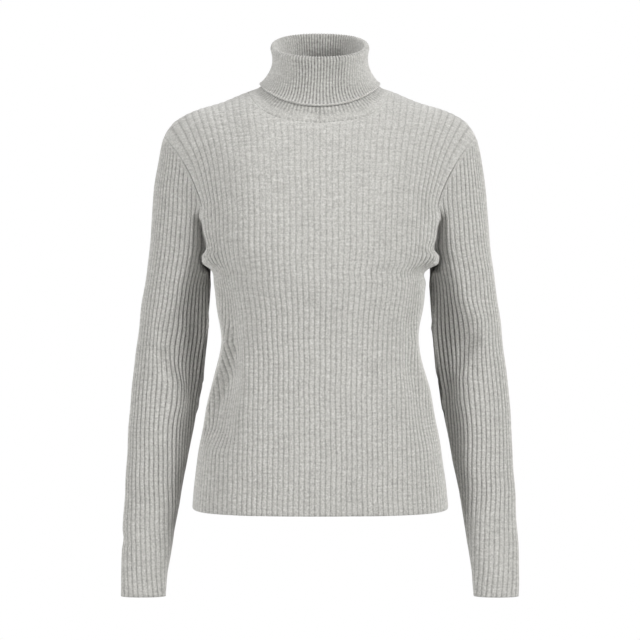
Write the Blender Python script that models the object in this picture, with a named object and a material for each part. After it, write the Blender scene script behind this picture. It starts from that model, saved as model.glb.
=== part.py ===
"""Roll-neck sweater in a wide rib knit, filled out as it is when worn, with no wearer inside.

Units are metres and +Z is up. The origin is the middle of the base of the neck, level with the ends
of the shoulder seams. The front faces -Y, and the wearer's left arm is on +X.

The body is drawn by its ribs. A rib is numbered from 0 at the middle to BODY_RIBS at the side seam.
It climbs from the hem to the bust line by level, and from there over the shoulder by climb, which
runs from 0 at the bust line to 1 at the shoulder seam. Each piece is a wall with an outer skin, an
inner skin and a rim, and is skived at its seams, so that its neighbours' edges stay a gap apart.
"""

import math

import bmesh
import bpy
import numpy as np
from mathutils import Vector

# Cloth
WALL = 0.0025
SEAM_GAP = 0.0003

# Ribs, counted over half of a panel
BODY_RIBS = 33
ARMHOLE_RIB = 24

# Body: level is the height, half_width lies along X, front and back are the depths at the middle
SEAM_Y = 0.004
HEM = -0.563
HEM_DIP = 0.0025
UNDERARM = -0.238
BUST = -0.200
TORSO_COLUMNS = "level half_width front back fullness rib_pitch"
TORSO = (
    (HEM, 0.1725, -0.112, 0.108, 2.6, 0.0069),
    (-0.500, 0.1660, -0.111, 0.106, 2.6, 0.0069),
    (-0.443, 0.1560, -0.107, 0.098, 2.6, 0.0069),
    (-0.389, 0.1450, -0.102, 0.089, 2.5, 0.0069),
    (-0.332, 0.1330, -0.100, 0.083, 2.5, 0.0070),
    (-0.294, 0.1397, -0.108, 0.087, 2.5, 0.0073),
    (-0.262, 0.1428, -0.117, 0.093, 2.5, 0.0076),
    (UNDERARM, 0.1490, -0.1215, 0.098, 2.5, 0.0078),
    (BUST, 0.1630, -0.124, 0.101, 2.5, 0.0079),
)

# Shoulders: the ridge that the shoulder seam follows, from the neck to the top of the armhole
SHOULDER_COLUMNS = "x z"
SHOULDER = (
    (0.000, 0.0040),
    (0.097, 0.0005),
    (0.131, -0.0135),
    (0.160, -0.0222),
    (0.180, -0.0300),
    (0.1935, -0.0378),
    (0.2020, -0.0459),
    (0.2110, -0.0610),
)
SHOULDER_WIDTH = SHOULDER[-1][0]
CHEST_ROUND = {"front": 2.1, "back": 3.2}
SHOULDER_SPREAD = 1.5

# Neck seam: a rounded square seen from above, which ends each shoulder seam at NECK_WIDTH
NECK_WIDTH = 0.097
NECK_DEPTH = {"front": 0.0892, "back": 0.0680}
NECK_ROUND = 3.3
NECK_RIB = ARMHOLE_RIB * NECK_WIDTH / SHOULDER_WIDTH

# Sleeve: level is the height of the ring's middle, which lies at (x, y)
SLEEVE_TOP = -0.262
SLEEVE_ROUND = 2.2
SLEEVE_COLUMNS = "level x y half_width half_depth"
SLEEVE = (
    (-0.681, 0.2362, -0.026, 0.0300, 0.0200),
    (-0.640, 0.2345, -0.022, 0.0320, 0.0230),
    (-0.580, 0.2288, -0.014, 0.0355, 0.0275),
    (-0.520, 0.2225, -0.006, 0.0392, 0.0325),
    (-0.460, 0.2150, 0.001, 0.0435, 0.0365),
    (-0.400, 0.2083, 0.006, 0.0466, 0.0395),
    (-0.340, 0.2010, 0.007, 0.0462, 0.0415),
    (-0.290, 0.1955, 0.005, 0.0455, 0.0440),
    (SLEEVE_TOP, 0.1920, 0.003, 0.0445, 0.0465),
)
SLEEVE_LEAN = 0.30
ARMHOLE_CORNER = 0.7

# Collar: a stand that climbs from the neck seam, folds over at the crest and falls outside itself
COLLAR_TILT = math.radians(20)
CREST_Y = -0.020
CREST_Z = 0.057
STAND_RADIUS = 0.0596
FALL_RADIUS = 0.0642
CREST_ROUND = 2.3
FALL_WAIST = 0.3
TUCK = 0.84
FALL_EDGE_WIDTH = 0.0795
FALL_EDGE_FRONT = -0.0900
FALL_EDGE_BACK = 0.0710
FALL_EDGE_LEVELS = {"front": -0.0275, "side": 0.0080, "back": 0.0140}

# How finely each piece is faceted
NECK_STATIONS = 6
SHOULDER_STATIONS = 5
ARMHOLE_STATIONS = 4
BODY_ROWS = 13
SHOULDER_ROWS = 7
SLEEVE_ROWS = 11
SLEEVE_HEAD_ROWS = 4
STAND_ROWS = 4
TUCKED_ROWS = 3
CREST_ROWS = 4
FALL_ROWS = 5

KNIT_GREY = (0.47, 0.47, 0.45, 1.0)
KNIT_ROUGHNESS = 0.95


def curve(knots, values, at, level_end=False):
    """A smooth cubic through the knots. Its far end runs level where level_end is set."""
    knots, values = np.asarray(knots, float), np.asarray(values, float)
    step = np.diff(knots)
    slope = np.diff(values) / step
    count = len(knots)
    system = np.eye(count)
    target = np.zeros(count)
    for i in range(1, count - 1):
        system[i, i - 1 : i + 2] = step[i - 1], 2 * (step[i - 1] + step[i]), step[i]
        target[i] = 6 * (slope[i] - slope[i - 1])
    if level_end:
        system[-1, -2:] = step[-1], 2 * step[-1]
        target[-1] = -6 * slope[-1]
    bend = np.linalg.solve(system, target)
    at = np.clip(at, knots[0], knots[-1])
    i = np.clip(np.searchsorted(knots, at) - 1, 0, count - 2)
    left, right, width = at - knots[i], knots[i + 1] - at, step[i]
    chord = (values[i] * right + values[i + 1] * left) / width
    sag = left * right * (bend[i] * (right + width) + bend[i + 1] * (left + width)) / (6 * width)
    return chord - sag


def column(table, columns, name, at, level_end=False):
    """One named column of a table, read at any place along the table's first column."""
    rows = np.array(table)
    return curve(rows[:, 0], rows[:, columns.split().index(name)], at, level_end)


def torso(name, level):
    return column(TORSO, TORSO_COLUMNS, name, level, level_end=True)


def run_along(x, y):
    """The distance along an outline up to each of its points."""
    return np.concatenate([[0], np.cumsum(np.hypot(np.diff(x), np.diff(y)))])


def rib_run(ribs, pitch, length):
    """How far round from the middle each rib lies. Those towards the side seam take up the slack."""
    share = ribs / BODY_RIBS
    inner, outer = 0.4, 0.6
    t = np.clip((share - inner) / (outer - inner), 0, 1)
    taken = (outer - inner) * (t**3 - t**4 / 2) + np.maximum(share - outer, 0)
    whole = (outer - inner) / 2 + 1 - outer
    return pitch * ribs - (pitch * BODY_RIBS - length) * taken / whole


def body_outline(level, ribs, face):
    """Where the ribs of one half of a panel cross a level below the bust line."""
    power = 2 / torso("fullness", level)
    turn = np.linspace(0, math.pi / 2, 181)
    x = torso("half_width", level) * np.sin(turn) ** power
    y = SEAM_Y + (torso(face, level) - SEAM_Y) * np.cos(turn) ** power
    run = run_along(x, y)
    at = rib_run(ribs, torso("rib_pitch", level), run[-1])
    return np.interp(at, run, x), np.interp(at, run, y)


def body_low(ribs, levels, face):
    """Points of the body under the bust line, a column for each rib and a row for each level."""
    known = np.linspace(HEM, BUST, 180)
    outlines = np.array([body_outline(level, ribs, face) for level in known])
    points = np.empty(levels.shape + (3,))
    for j in range(len(ribs)):
        for axis in (0, 1):
            points[:, j, axis] = np.interp(levels[:, j], known, outlines[:, axis, j])
    near_hem = np.clip(1 - (levels - HEM) / 0.15, 0, 1) ** 2
    across = ribs[None, :] / BODY_RIBS
    points[..., 2] = levels - HEM_DIP * near_hem * (1 - across**2)
    return points


def body_high(ribs, climb, face):
    """Points of the body from the bust line over the chest or the back to the shoulder seam."""
    x, y = body_outline(BUST, ribs, face)
    power = 2 / CHEST_ROUND[face]
    rise = np.sin(climb * math.pi / 2) ** power
    reach = np.cos(climb * math.pi / 2) ** power
    top_x = SHOULDER_WIDTH * ribs / ARMHOLE_RIB
    top_z = column(SHOULDER, SHOULDER_COLUMNS, "z", top_x)
    return np.stack(
        [
            x + (top_x - x) * rise**SHOULDER_SPREAD,
            SEAM_Y + (y - SEAM_Y) * reach,
            BUST + (top_z - BUST) * rise,
        ],
        axis=-1,
    )


def neck_climb(ribs, face):
    """How far each rib climbs before the neck seam, a rounded square seen from above, ends it."""
    y = body_outline(BUST, ribs, face)[1]
    across = np.clip(ribs / NECK_RIB, 0, 1)
    depth = NECK_DEPTH[face] * (1 - across**NECK_ROUND) ** (1 / NECK_ROUND)
    return np.arccos((depth / np.abs(y - SEAM_Y)) ** (CHEST_ROUND[face] / 2)) * 2 / math.pi


def neck_stations():
    """Ribs at even turns round the neck seam, from the middle to the shoulder seam."""
    return NECK_RIB * np.sin(np.linspace(0, math.pi / 2, NECK_STATIONS + 1)) ** (2 / NECK_ROUND)


def armhole(share, face):
    """The armhole from the top of the shoulder, at 0, down to the underarm, at 1."""
    share = np.asarray(share, float)
    climb = np.clip(1 - share / ARMHOLE_CORNER, 0, 1)
    high = body_high(np.full(share.shape, float(ARMHOLE_RIB)), climb, face)
    rib, level = armhole_foot((share - ARMHOLE_CORNER) / (1 - ARMHOLE_CORNER))
    low = body_low(rib, np.tile(level, (len(rib), 1)), face)[range(len(rib)), range(len(rib))]
    return np.where((share < ARMHOLE_CORNER)[:, None], high, low)


def armhole_foot(share):
    """Rib and level along the quarter round that the armhole makes from the bust line to the underarm."""
    turn = np.clip(share, 0, 1) * math.pi / 2
    rib = BODY_RIBS - (BODY_RIBS - ARMHOLE_RIB) * np.cos(turn)
    return rib, UNDERARM + (BUST - UNDERARM) * (1 - np.sin(turn))


def unit(vectors):
    return vectors / np.maximum(np.linalg.norm(vectors, axis=-1, keepdims=True), 1e-12)


def body_panel(face):
    """Half a panel's points and outward directions, with rows from the hem to the shoulder seam."""
    foot_rib, foot_level = armhole_foot(np.linspace(0, 1, ARMHOLE_STATIONS + 1)[1:])
    shoulder = np.linspace(NECK_RIB, ARMHOLE_RIB, SHOULDER_STATIONS + 1)[1:]
    ribs = np.concatenate([neck_stations(), shoulder, foot_rib])
    inside = ribs <= ARMHOLE_RIB + 1e-9
    top_level = np.concatenate([np.full(inside.sum(), BUST), foot_level])
    top_climb = np.ones(len(ribs))
    top_climb[: NECK_STATIONS + 1] = neck_climb(neck_stations(), face)
    rows = np.linspace(0, 1, BODY_ROWS + 1)[:, None]
    levels = HEM + (top_level[None, :] - HEM) * rows
    climbs = np.linspace(0, 1, SHOULDER_ROWS + 1)[1:, None] * top_climb[None, :]

    def surface(rib_shift, row_shift):
        moved = np.clip(ribs + rib_shift, 0, BODY_RIBS)
        low = body_low(moved, np.clip(levels + 0.1 * row_shift, HEM, BUST), face)
        high = body_high(np.clip(moved, 0, ARMHOLE_RIB)[None, :], np.clip(climbs + row_shift, 0, 1), face)
        return np.concatenate([low, high])

    step = 0.002
    across = surface(step, 0) - surface(-step, 0)
    up = surface(0, step) - surface(0, -step)
    outward = unit(np.cross(across, up))
    return surface(0, 0), outward if face == "front" else -outward, inside


def sleeve_ring(level, share, face):
    """A point of the sleeve below its head. The share runs from the outer line, at 0, to the seam, at 1."""
    def read(name):
        return column(SLEEVE, SLEEVE_COLUMNS, name, level)

    turn = np.linspace(0, math.pi, 361)
    power = 2 / SLEEVE_ROUND
    x = np.sign(np.cos(turn)) * np.abs(np.cos(turn)) ** power * read("half_width")
    y = np.sin(turn) ** power * read("half_depth") * (-1 if face == "front" else 1)
    run = run_along(x, y)
    at = np.asarray(share) * run[-1]
    return np.stack(
        [read("x") + np.interp(at, run, x), read("y") + np.interp(at, run, y), np.full(at.shape, level)],
        axis=-1,
    )


def hermite(start, start_pull, end, end_pull, t):
    return (
        (2 * t**3 - 3 * t**2 + 1) * start
        + (t**3 - 2 * t**2 + t) * start_pull
        + (3 * t**2 - 2 * t**3) * end
        + (t**3 - t**2) * end_pull
    )


def sleeve_half(face, shares):
    """Rows of points up one half of the sleeve, from the cuff to the armhole."""
    levels = np.linspace(SLEEVE[0][0], SLEEVE_TOP, SLEEVE_ROWS + 1)
    rows = [sleeve_ring(level, shares, face) for level in levels]
    start, end = rows[-1], armhole(shares, face)
    length = np.linalg.norm(end - start, axis=1)[:, None]
    start_pull = unit(start - sleeve_ring(SLEEVE_TOP - 0.002, shares, face)) * length
    lean = np.stack([-SLEEVE_LEAN * (1 - shares), 0 * shares, np.ones(len(shares))], axis=1)
    end_pull = unit(lean) * length
    for t in np.linspace(0, 1, SLEEVE_HEAD_ROWS + 1)[1:]:
        rows.append(hermite(start, start_pull, end, end_pull, t))
    return np.array(rows)


def collar_rows(seam, angle):
    """Rows up the stand from the neck seam, over the crest and down the fall, at each angle round."""
    forward = np.cos(angle)[:, None]
    sideways = np.sin(angle)[:, None]
    outward = np.concatenate([sideways, -forward, 0 * forward], axis=1)
    round_x, round_y = np.sign(outward[:, :2]).T * np.abs(outward[:, :2]).T ** (2 / CREST_ROUND)
    axis = np.array([0, -math.sin(COLLAR_TILT), math.cos(COLLAR_TILT)])

    def ring(radius, lift):
        x = radius * round_x
        y = CREST_Y + radius * round_y
        z = CREST_Z + math.tan(COLLAR_TILT) * radius * round_y
        return np.stack([x, y, z], axis=1) + lift * axis

    stand_end, fall_start = ring(STAND_RADIUS, 0), ring(FALL_RADIUS, 0)
    half_fall = (FALL_EDGE_BACK - FALL_EDGE_FRONT) / 2
    tilt = (FALL_EDGE_LEVELS["back"] - FALL_EDGE_LEVELS["front"]) / 2
    dip = (FALL_EDGE_LEVELS["back"] + FALL_EDGE_LEVELS["front"]) / 2 - FALL_EDGE_LEVELS["side"]
    fall_end = np.concatenate(
        [
            FALL_EDGE_WIDTH * sideways,
            (FALL_EDGE_BACK + FALL_EDGE_FRONT) / 2 - half_fall * forward,
            FALL_EDGE_LEVELS["side"] - tilt * forward + dip * forward**2,
        ],
        axis=1,
    )
    up = np.array([0, 0, 1.0])
    drop = np.linalg.norm(fall_end - fall_start, axis=1)[:, None]
    arrive = unit(0.75 * outward - 0.66 * up) * drop
    hang = (-axis - FALL_WAIST * outward) * 1.3 * drop

    def fall(t):
        return hermite(fall_start, hang, fall_end, arrive, t)

    def fall_way(t):
        return unit(fall(t + 0.01) - fall(t - 0.01))

    def beneath(t):
        """The stand lies against the fall from the crest down to its tuck, a roll's width inside it."""
        way = fall_way(t)
        square = unit(outward - (outward * way).sum(axis=1, keepdims=True) * way)
        place = fall(t) - (FALL_RADIUS - STAND_RADIUS) * square
        if t == 0:
            return place
        return place + (stand_end - beneath(0)) * (1 - t / TUCK) ** 2

    tuck = beneath(TUCK)
    reach = np.linalg.norm(tuck - seam, axis=1)[:, None]
    leave = unit(-(1 - forward**2) * outward + (0.5 + 0.5 * forward**2) * up) * reach
    enter = -fall_way(TUCK) * reach
    rows = [hermite(seam, leave, tuck, enter, t) for t in np.linspace(0, 1, STAND_ROWS + 1)]
    rows += [beneath(t) for t in np.linspace(TUCK, 0, TUCKED_ROWS + 1)[1:-1]]
    rows.append(stand_end)
    middle = (STAND_RADIUS + FALL_RADIUS) / 2
    roll = (FALL_RADIUS - STAND_RADIUS) / 2
    for turn in np.linspace(0, math.pi, CREST_ROWS + 1)[1:-1]:
        rows.append(ring(middle - roll * math.cos(turn), roll * math.sin(turn)))
    rows += [fall(t) for t in np.linspace(0, 1, FALL_ROWS + 1)]
    return np.array(rows)


def collar_seam():
    """Points of the neck seam and their angles round it, from the front middle by the wearer's left."""
    quarter = np.linspace(0, math.pi / 2, NECK_STATIONS + 1)
    halves = {}
    for face in ("front", "back"):
        halves[face] = body_high(neck_stations(), neck_climb(neck_stations(), face), face)
    left = np.concatenate([halves["front"], halves["back"][-2::-1]])
    angle = np.concatenate([quarter, math.pi - quarter[-2::-1]])
    mirror = np.array([-1, 1, 1])
    seam = np.concatenate([left, left[-2:0:-1] * mirror])
    return seam, np.concatenate([angle, -angle[-2:0:-1]])


def grid_outward(points):
    """Directions square to a grid of points that closes round on itself."""
    across = np.roll(points, -1, axis=1) - np.roll(points, 1, axis=1)
    return unit(np.cross(across, np.gradient(points, axis=0)))


def cloth(name, points, outward, wrap=False, keep=None, free_rows=(0,)):
    """A wall from a grid of points: an outer skin, an inner skin, and a rim round each opening.

    wrap closes the grid on itself. keep(i, j) says which cells are cloth. A rim between two points
    of a free row is an edge, such as a hem; any other rim is sewn, and is set back by half a gap.
    """
    rows, columns = points.shape[:2]
    mesh = bmesh.new()
    outer = [[mesh.verts.new(spot) for spot in row] for row in points]
    inner = [[mesh.verts.new(spot) for spot in row] for row in points - WALL * outward]
    place = {outer[i][j]: (i, j) for i in range(rows) for j in range(columns)}
    for i in range(rows - 1):
        for j in range(columns if wrap else columns - 1):
            if keep is None or keep(i, j):
                cell = (i, j), (i, (j + 1) % columns), (i + 1, (j + 1) % columns), (i + 1, j)
                mesh.faces.new([outer[a][b] for a, b in cell])
                mesh.faces.new([inner[a][b] for a, b in reversed(cell)])
    sewn_sides = {}
    for edge in [edge for edge in mesh.edges if edge.is_boundary and edge.verts[0] in place]:
        loop = edge.link_loops[0]
        start, end = place[loop.vert], place[loop.link_loop_next.vert]
        mesh.faces.new((outer[end[0]][end[1]], outer[start[0]][start[1]],
                        inner[start[0]][start[1]], inner[end[0]][end[1]]))
        is_free = start[0] == end[0] and start[0] in free_rows
        for where in (start, end):
            side = unit(np.cross(outward[where], points[end] - points[start]))
            sewn_sides.setdefault(where, []).append(0 * side if is_free else side)
    for (i, j), (first, second) in sewn_sides.items():
        inset = Vector((first + second) / max(0.4, 1 + float(first @ second)))
        outer[i][j].co += inset * SEAM_GAP / 2
        inner[i][j].co += inset * (SEAM_GAP / 2 + WALL)
    loose = [vert for vert in mesh.verts if not vert.link_faces]
    bmesh.ops.delete(mesh, geom=loose, context="VERTS")
    return finish(name, mesh)


def finish(name, mesh):
    """Makes the object, and gives it its own material."""
    bmesh.ops.remove_doubles(mesh, verts=mesh.verts, dist=1e-5)
    data = bpy.data.meshes.new(name)
    mesh.to_mesh(data)
    mesh.free()
    material = bpy.data.materials.new(name + "_knit")
    material.use_nodes = True
    shader = material.node_tree.nodes["Principled BSDF"]
    shader.inputs["Base Color"].default_value = KNIT_GREY
    shader.inputs["Roughness"].default_value = KNIT_ROUGHNESS
    material.diffuse_color = KNIT_GREY
    data.materials.append(material)
    data.shade_smooth()
    piece = bpy.data.objects.new(name, data)
    bpy.context.scene.collection.objects.link(piece)
    return piece


def make_panel(face):
    """The front or the back: half a panel and its mirror image, from hem to neck and shoulders."""
    points, outward, inside = body_panel(face)
    mirror = np.array([-1, 1, 1])
    points = np.concatenate([points[:, :0:-1] * mirror, points], axis=1)
    outward = np.concatenate([outward[:, :0:-1] * mirror, outward], axis=1)
    inside = np.concatenate([inside[:0:-1], inside])
    if face == "back":
        points, outward, inside = points[:, ::-1], outward[:, ::-1], inside[::-1]
    cloth(face, points, outward, keep=lambda i, j: i < BODY_ROWS or (inside[j] and inside[j + 1]))


def make_sleeve(side):
    """A sleeve, closed along its underarm seam and half a gap off the body, drawn for the left arm."""
    upper = np.linspace(0, ARMHOLE_CORNER, SHOULDER_ROWS + 1)
    lower = np.linspace(ARMHOLE_CORNER, 1, ARMHOLE_STATIONS + 1)[1:]
    shares = np.concatenate([upper, lower])
    front, back = sleeve_half("front", shares), sleeve_half("back", shares)
    points = np.concatenate([front[:, ::-1], back[:, 1:-1]], axis=1)
    points[..., 0] += SEAM_GAP / 2
    if side == "right":
        points = (points * np.array([-1, 1, 1]))[:, ::-1]
    cloth("sleeve_" + side, points, grid_outward(points), wrap=True)


def make_collar():
    seam, angle = collar_seam()
    points = collar_rows(seam, angle)
    cloth("collar", points, grid_outward(points), wrap=True, free_rows=(len(points) - 1,))


def main():
    for obj in list(bpy.data.objects):
        bpy.data.objects.remove(obj, do_unlink=True)
    make_panel("front")
    make_panel("back")
    make_sleeve("left")
    make_sleeve("right")
    make_collar()


main()
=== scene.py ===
# %% [markdown]
# # A roll-neck sweater in rib knit
#
# This lesson makes a knitted sweater as a maker would: five knitted pieces (a front, a back, two sleeves
# and a collar), each dressed on an invisible wearer and sewn to its neighbours. A rib knit gets its look
# from real relief: every rib is a soft ridge with a groove on each side, so the ribs are modelled, and
# the material adds only a painted shade in the grooves. The stitches and the flecks of the yarn are too
# small to model, and they are left to the material.

# %% Load the imported model
import math

import bpy
import mathutils
import numpy as np
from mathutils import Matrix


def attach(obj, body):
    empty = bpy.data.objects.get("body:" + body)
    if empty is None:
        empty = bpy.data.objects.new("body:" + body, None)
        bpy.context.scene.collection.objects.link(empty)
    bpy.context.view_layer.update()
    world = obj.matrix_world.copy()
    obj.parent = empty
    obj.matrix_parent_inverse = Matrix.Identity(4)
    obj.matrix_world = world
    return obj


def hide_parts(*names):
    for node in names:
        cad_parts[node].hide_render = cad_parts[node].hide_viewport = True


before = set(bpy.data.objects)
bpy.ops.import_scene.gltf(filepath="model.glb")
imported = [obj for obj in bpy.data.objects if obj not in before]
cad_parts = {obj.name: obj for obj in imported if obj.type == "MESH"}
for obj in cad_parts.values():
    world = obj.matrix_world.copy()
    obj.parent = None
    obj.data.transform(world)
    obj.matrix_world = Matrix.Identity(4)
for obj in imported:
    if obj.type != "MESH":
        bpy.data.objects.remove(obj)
bpy.ops.object.select_all(action="DESELECT")
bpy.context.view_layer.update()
print("packed pieces:", sorted(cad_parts))

# %% [markdown]
# ## The form
#
# The sizes below describe the filled-out body. It is drawn by its ribs, numbered from 0 at the middle to
# 33 at the side seam. A rib climbs from the hem to the bust line by level, and from there over the
# shoulder by climb, which runs from 0 at the bust line to 1 at the shoulder seam. A table row gives the
# size at one level, and a smooth curve through the rows gives every level between. Fullness says how
# square the outline is: 2 is an ellipse, and more is squarer.
#
# The body could also be sculpted, or a loose tube could be dropped on a figure by simulation. Tables were
# chosen because a sweater hangs close to its wearer, and because every column of points stays on its rib.

# %% Sizes of the body, in metres
WALL = 0.0025
BODY_RIBS = 33
ARMHOLE_RIB = 23
SEAM_Y = 0.004
HEM = -0.563
UNDERARM = -0.230
BUST = -0.200
TORSO_COLUMNS = "level half_width front back fullness rib_pitch"
TORSO = (
    (HEM, 0.1725, -0.112, 0.108, 2.6, 0.0069),
    (-0.500, 0.1660, -0.111, 0.106, 2.6, 0.0069),
    (-0.443, 0.1560, -0.107, 0.098, 2.6, 0.0069),
    (-0.389, 0.1450, -0.102, 0.089, 2.5, 0.0069),
    (-0.332, 0.1330, -0.100, 0.083, 2.5, 0.0070),
    (-0.294, 0.1397, -0.108, 0.087, 2.5, 0.0073),
    (-0.262, 0.1428, -0.117, 0.093, 2.5, 0.0076),
    (-0.238, 0.1490, -0.1215, 0.098, 2.5, 0.0078),
    (BUST, 0.1630, -0.124, 0.101, 2.5, 0.0079),
)
print("hem to underarm:", round(UNDERARM - HEM, 3), "m")

# %% Sizes of the shoulder and the neck
SHOULDER_COLUMNS = "x z"
SHOULDER = (
    (0.000, 0.0040),
    (0.097, 0.0005),
    (0.131, -0.0135),
    (0.160, -0.0222),
    (0.180, -0.0300),
    (0.1935, -0.0378),
    (0.2020, -0.0459),
    (0.2110, -0.0610),
)
SHOULDER_WIDTH = SHOULDER[-1][0]
SHOULDER_SPREAD = 2.0
CHEST_ROUND = {"front": 2.1, "back": 3.2}
NECK_WIDTH = 0.097
NECK_DEPTH = {"front": 0.0892, "back": 0.0680}
NECK_ROUND = 3.3
NECK_RIB = ARMHOLE_RIB * NECK_WIDTH / SHOULDER_WIDTH
print("shoulder to shoulder:", round(2 * SHOULDER_WIDTH, 3), "m")


# %% A smooth curve through a table
def curve(knots, values, at, level_end=False):
    """A smooth cubic through the knots. Its far end runs level where level_end is set."""
    knots, values = np.asarray(knots, float), np.asarray(values, float)
    step = np.diff(knots)
    slope = np.diff(values) / step
    count = len(knots)
    system = np.eye(count)
    target = np.zeros(count)
    for i in range(1, count - 1):
        system[i, i - 1 : i + 2] = step[i - 1], 2 * (step[i - 1] + step[i]), step[i]
        target[i] = 6 * (slope[i] - slope[i - 1])
    if level_end:
        system[-1, -2:] = step[-1], 2 * step[-1]
        target[-1] = -6 * slope[-1]
    bend = np.linalg.solve(system, target)
    at = np.clip(at, knots[0], knots[-1])
    i = np.clip(np.searchsorted(knots, at) - 1, 0, count - 2)
    left, right, width = at - knots[i], knots[i + 1] - at, step[i]
    chord = (values[i] * right + values[i + 1] * left) / width
    sag = left * right * (bend[i] * (right + width) + bend[i + 1] * (left + width)) / (6 * width)
    return chord - sag


def column(table, columns, name, at, level_end=False):
    """One named column of a table, read at any place along the table's first column."""
    rows = np.array(table)
    return curve(rows[:, 0], rows[:, columns.split().index(name)], at, level_end)


def torso(name, level):
    return column(TORSO, TORSO_COLUMNS, name, level, level_end=True)


def smooth_step(x, low, high):
    """From 0 at low to 1 at high, leaving and arriving level."""
    t = np.clip((x - low) / (high - low), 0, 1)
    return t * t * (3 - 2 * t)


print("half width between two rows:", round(float(torso("half_width", -0.360)), 4), "m")

# %% [markdown]
# ## Where the cloth is drawn in
#
# The waist isn't even. At each side of it the front turns sharply back, as it does when spare width is
# gathered behind, and more on the wearer's right. From start to end, which are distances out from the
# middle, the outline leaves its round and comes to the depth flat, as far as the share amount says. The
# side seam goes round towards the back by pull. Just below each arm, the seam also draws the body's width
# in a little.
#
# A cloth simulation with pins would find such a shape too, but not this one shape each time.

# %% Sizes of the waist
TUCK_COLUMNS = "level start end flat amount pull"
TUCKS = {
    "right": (
        (-0.480, 0.101, 0.150, -0.022, 0.0, 0.000),
        (-0.452, 0.101, 0.150, -0.022, 0.5, 0.004),
        (-0.415, 0.100, 0.135, -0.030, 0.9, 0.015),
        (-0.380, 0.0975, 0.121, -0.037, 1.0, 0.026),
        (-0.338, 0.100, 0.112, -0.054, 1.0, 0.030),
        (-0.300, 0.100, 0.130, -0.045, 0.6, 0.018),
        (-0.270, 0.105, 0.135, -0.045, 0.5, 0.006),
        (-0.245, 0.105, 0.135, -0.045, 0.0, 0.000),
    ),
    "left": (
        (-0.480, 0.110, 0.150, -0.022, 0.0, 0.000),
        (-0.452, 0.110, 0.150, -0.022, 0.2, 0.004),
        (-0.415, 0.110, 0.140, -0.030, 0.4, 0.013),
        (-0.380, 0.105, 0.127, -0.040, 0.5, 0.022),
        (-0.338, 0.105, 0.120, -0.054, 0.5, 0.026),
        (-0.300, 0.108, 0.132, -0.045, 0.4, 0.016),
        (-0.270, 0.110, 0.137, -0.045, 0.3, 0.006),
        (-0.245, 0.110, 0.137, -0.045, 0.0, 0.000),
    ),
}
UNDERARM_PULL = {"right": 0.0020, "left": 0.0065}
PULL_LEVEL = -0.2455
PULL_HEIGHT = 0.0085


def tuck(side, name, level):
    rows = np.array(TUCKS[side])
    return np.interp(level, rows[:, 0], rows[:, TUCK_COLUMNS.split().index(name)])


print("the side seams go round by up to", max(row[-1] for row in TUCKS["right"] + TUCKS["left"]), "m")

# %% [markdown]
# ## Ribs round the body
#
# Each level's outline is a rounded rectangle, a superellipse. The ribs are laid off along it from the
# middle by their pitch, the width of one rib, so that they stay even across the front, as in knitted
# cloth. Above the bust line, each rib follows a quarter round over the chest to its place on the
# shoulder. A lofted skin with a picture of ribs on it would be quicker, but its ribs would swell and
# shrink with the body.

# %% One level of the body
OUTLINE_TURNS = 721
MOST_PITCH = 1.15
SLACK_SHARES = (0.4, 0.6)
# A tuck fades out from this share of the half width, so that the side seam stays where it is.
TUCK_EDGE = 0.96


def run_along(x, y):
    """The distance along an outline up to each of its points."""
    return np.concatenate([[0], np.cumsum(np.hypot(np.diff(x), np.diff(y)))])


def rib_run(ribs, pitch, length):
    """How far round from the middle each rib lies. Those towards the side seam take up the slack."""
    pitch = min(pitch, MOST_PITCH * length / BODY_RIBS)
    share = ribs / BODY_RIBS
    inner, outer = SLACK_SHARES
    t = np.clip((share - inner) / (outer - inner), 0, 1)
    taken = (outer - inner) * (t**3 - t**4 / 2) + np.maximum(share - outer, 0)
    whole = (outer - inner) / 2 + 1 - outer
    return pitch * ribs - (pitch * BODY_RIBS - length) * taken / whole


def body_ring(level, side):
    """Half of a level's outline, from the front middle round the side to the back middle."""
    turn = np.linspace(0, math.pi, OUTLINE_TURNS)
    power = 2 / torso("fullness", level)
    pulled = UNDERARM_PULL[side] * math.exp(-(((level - PULL_LEVEL) / PULL_HEIGHT) ** 2))
    width = torso("half_width", level) - pulled
    x = width * np.sin(turn) ** power
    in_front = turn < math.pi / 2
    reach = np.where(in_front, torso("front", level), torso("back", level)) - SEAM_Y
    y = SEAM_Y + reach * np.abs(np.cos(turn)) ** power
    drawn = smooth_step(x, tuck(side, "start", level), tuck(side, "end", level))
    drawn = drawn * (1 - smooth_step(x / width, TUCK_EDGE, 1.0)) * tuck(side, "amount", level) * in_front
    y = y + (tuck(side, "flat", level) - y) * drawn
    return x, y, run_along(x, y)


def body_outline(level, ribs, face, side="left"):
    """Where the ribs of one half of a panel cross a level below the bust line."""
    x, y, run = body_ring(level, side)
    seam = run[len(run) // 2] + tuck(side, "pull", level)
    pitch = torso("rib_pitch", level)
    if face == "front":
        at = rib_run(ribs, pitch, seam)
    else:
        at = run[-1] - rib_run(ribs, pitch, run[-1] - seam)
    return np.interp(at, run, x), np.interp(at, run, y)


print("half way round the hem:", round(float(body_ring(HEM, "left")[2][-1]), 3), "m")

# %% Below the bust line
KNOWN_LEVELS = 180
HEM_DIP = 0.0013
HEM_CORNER = 0.0065
HEM_SQUARE = 8
# The hem's curve fades out within this height.
HEM_REACH = 0.15


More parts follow.
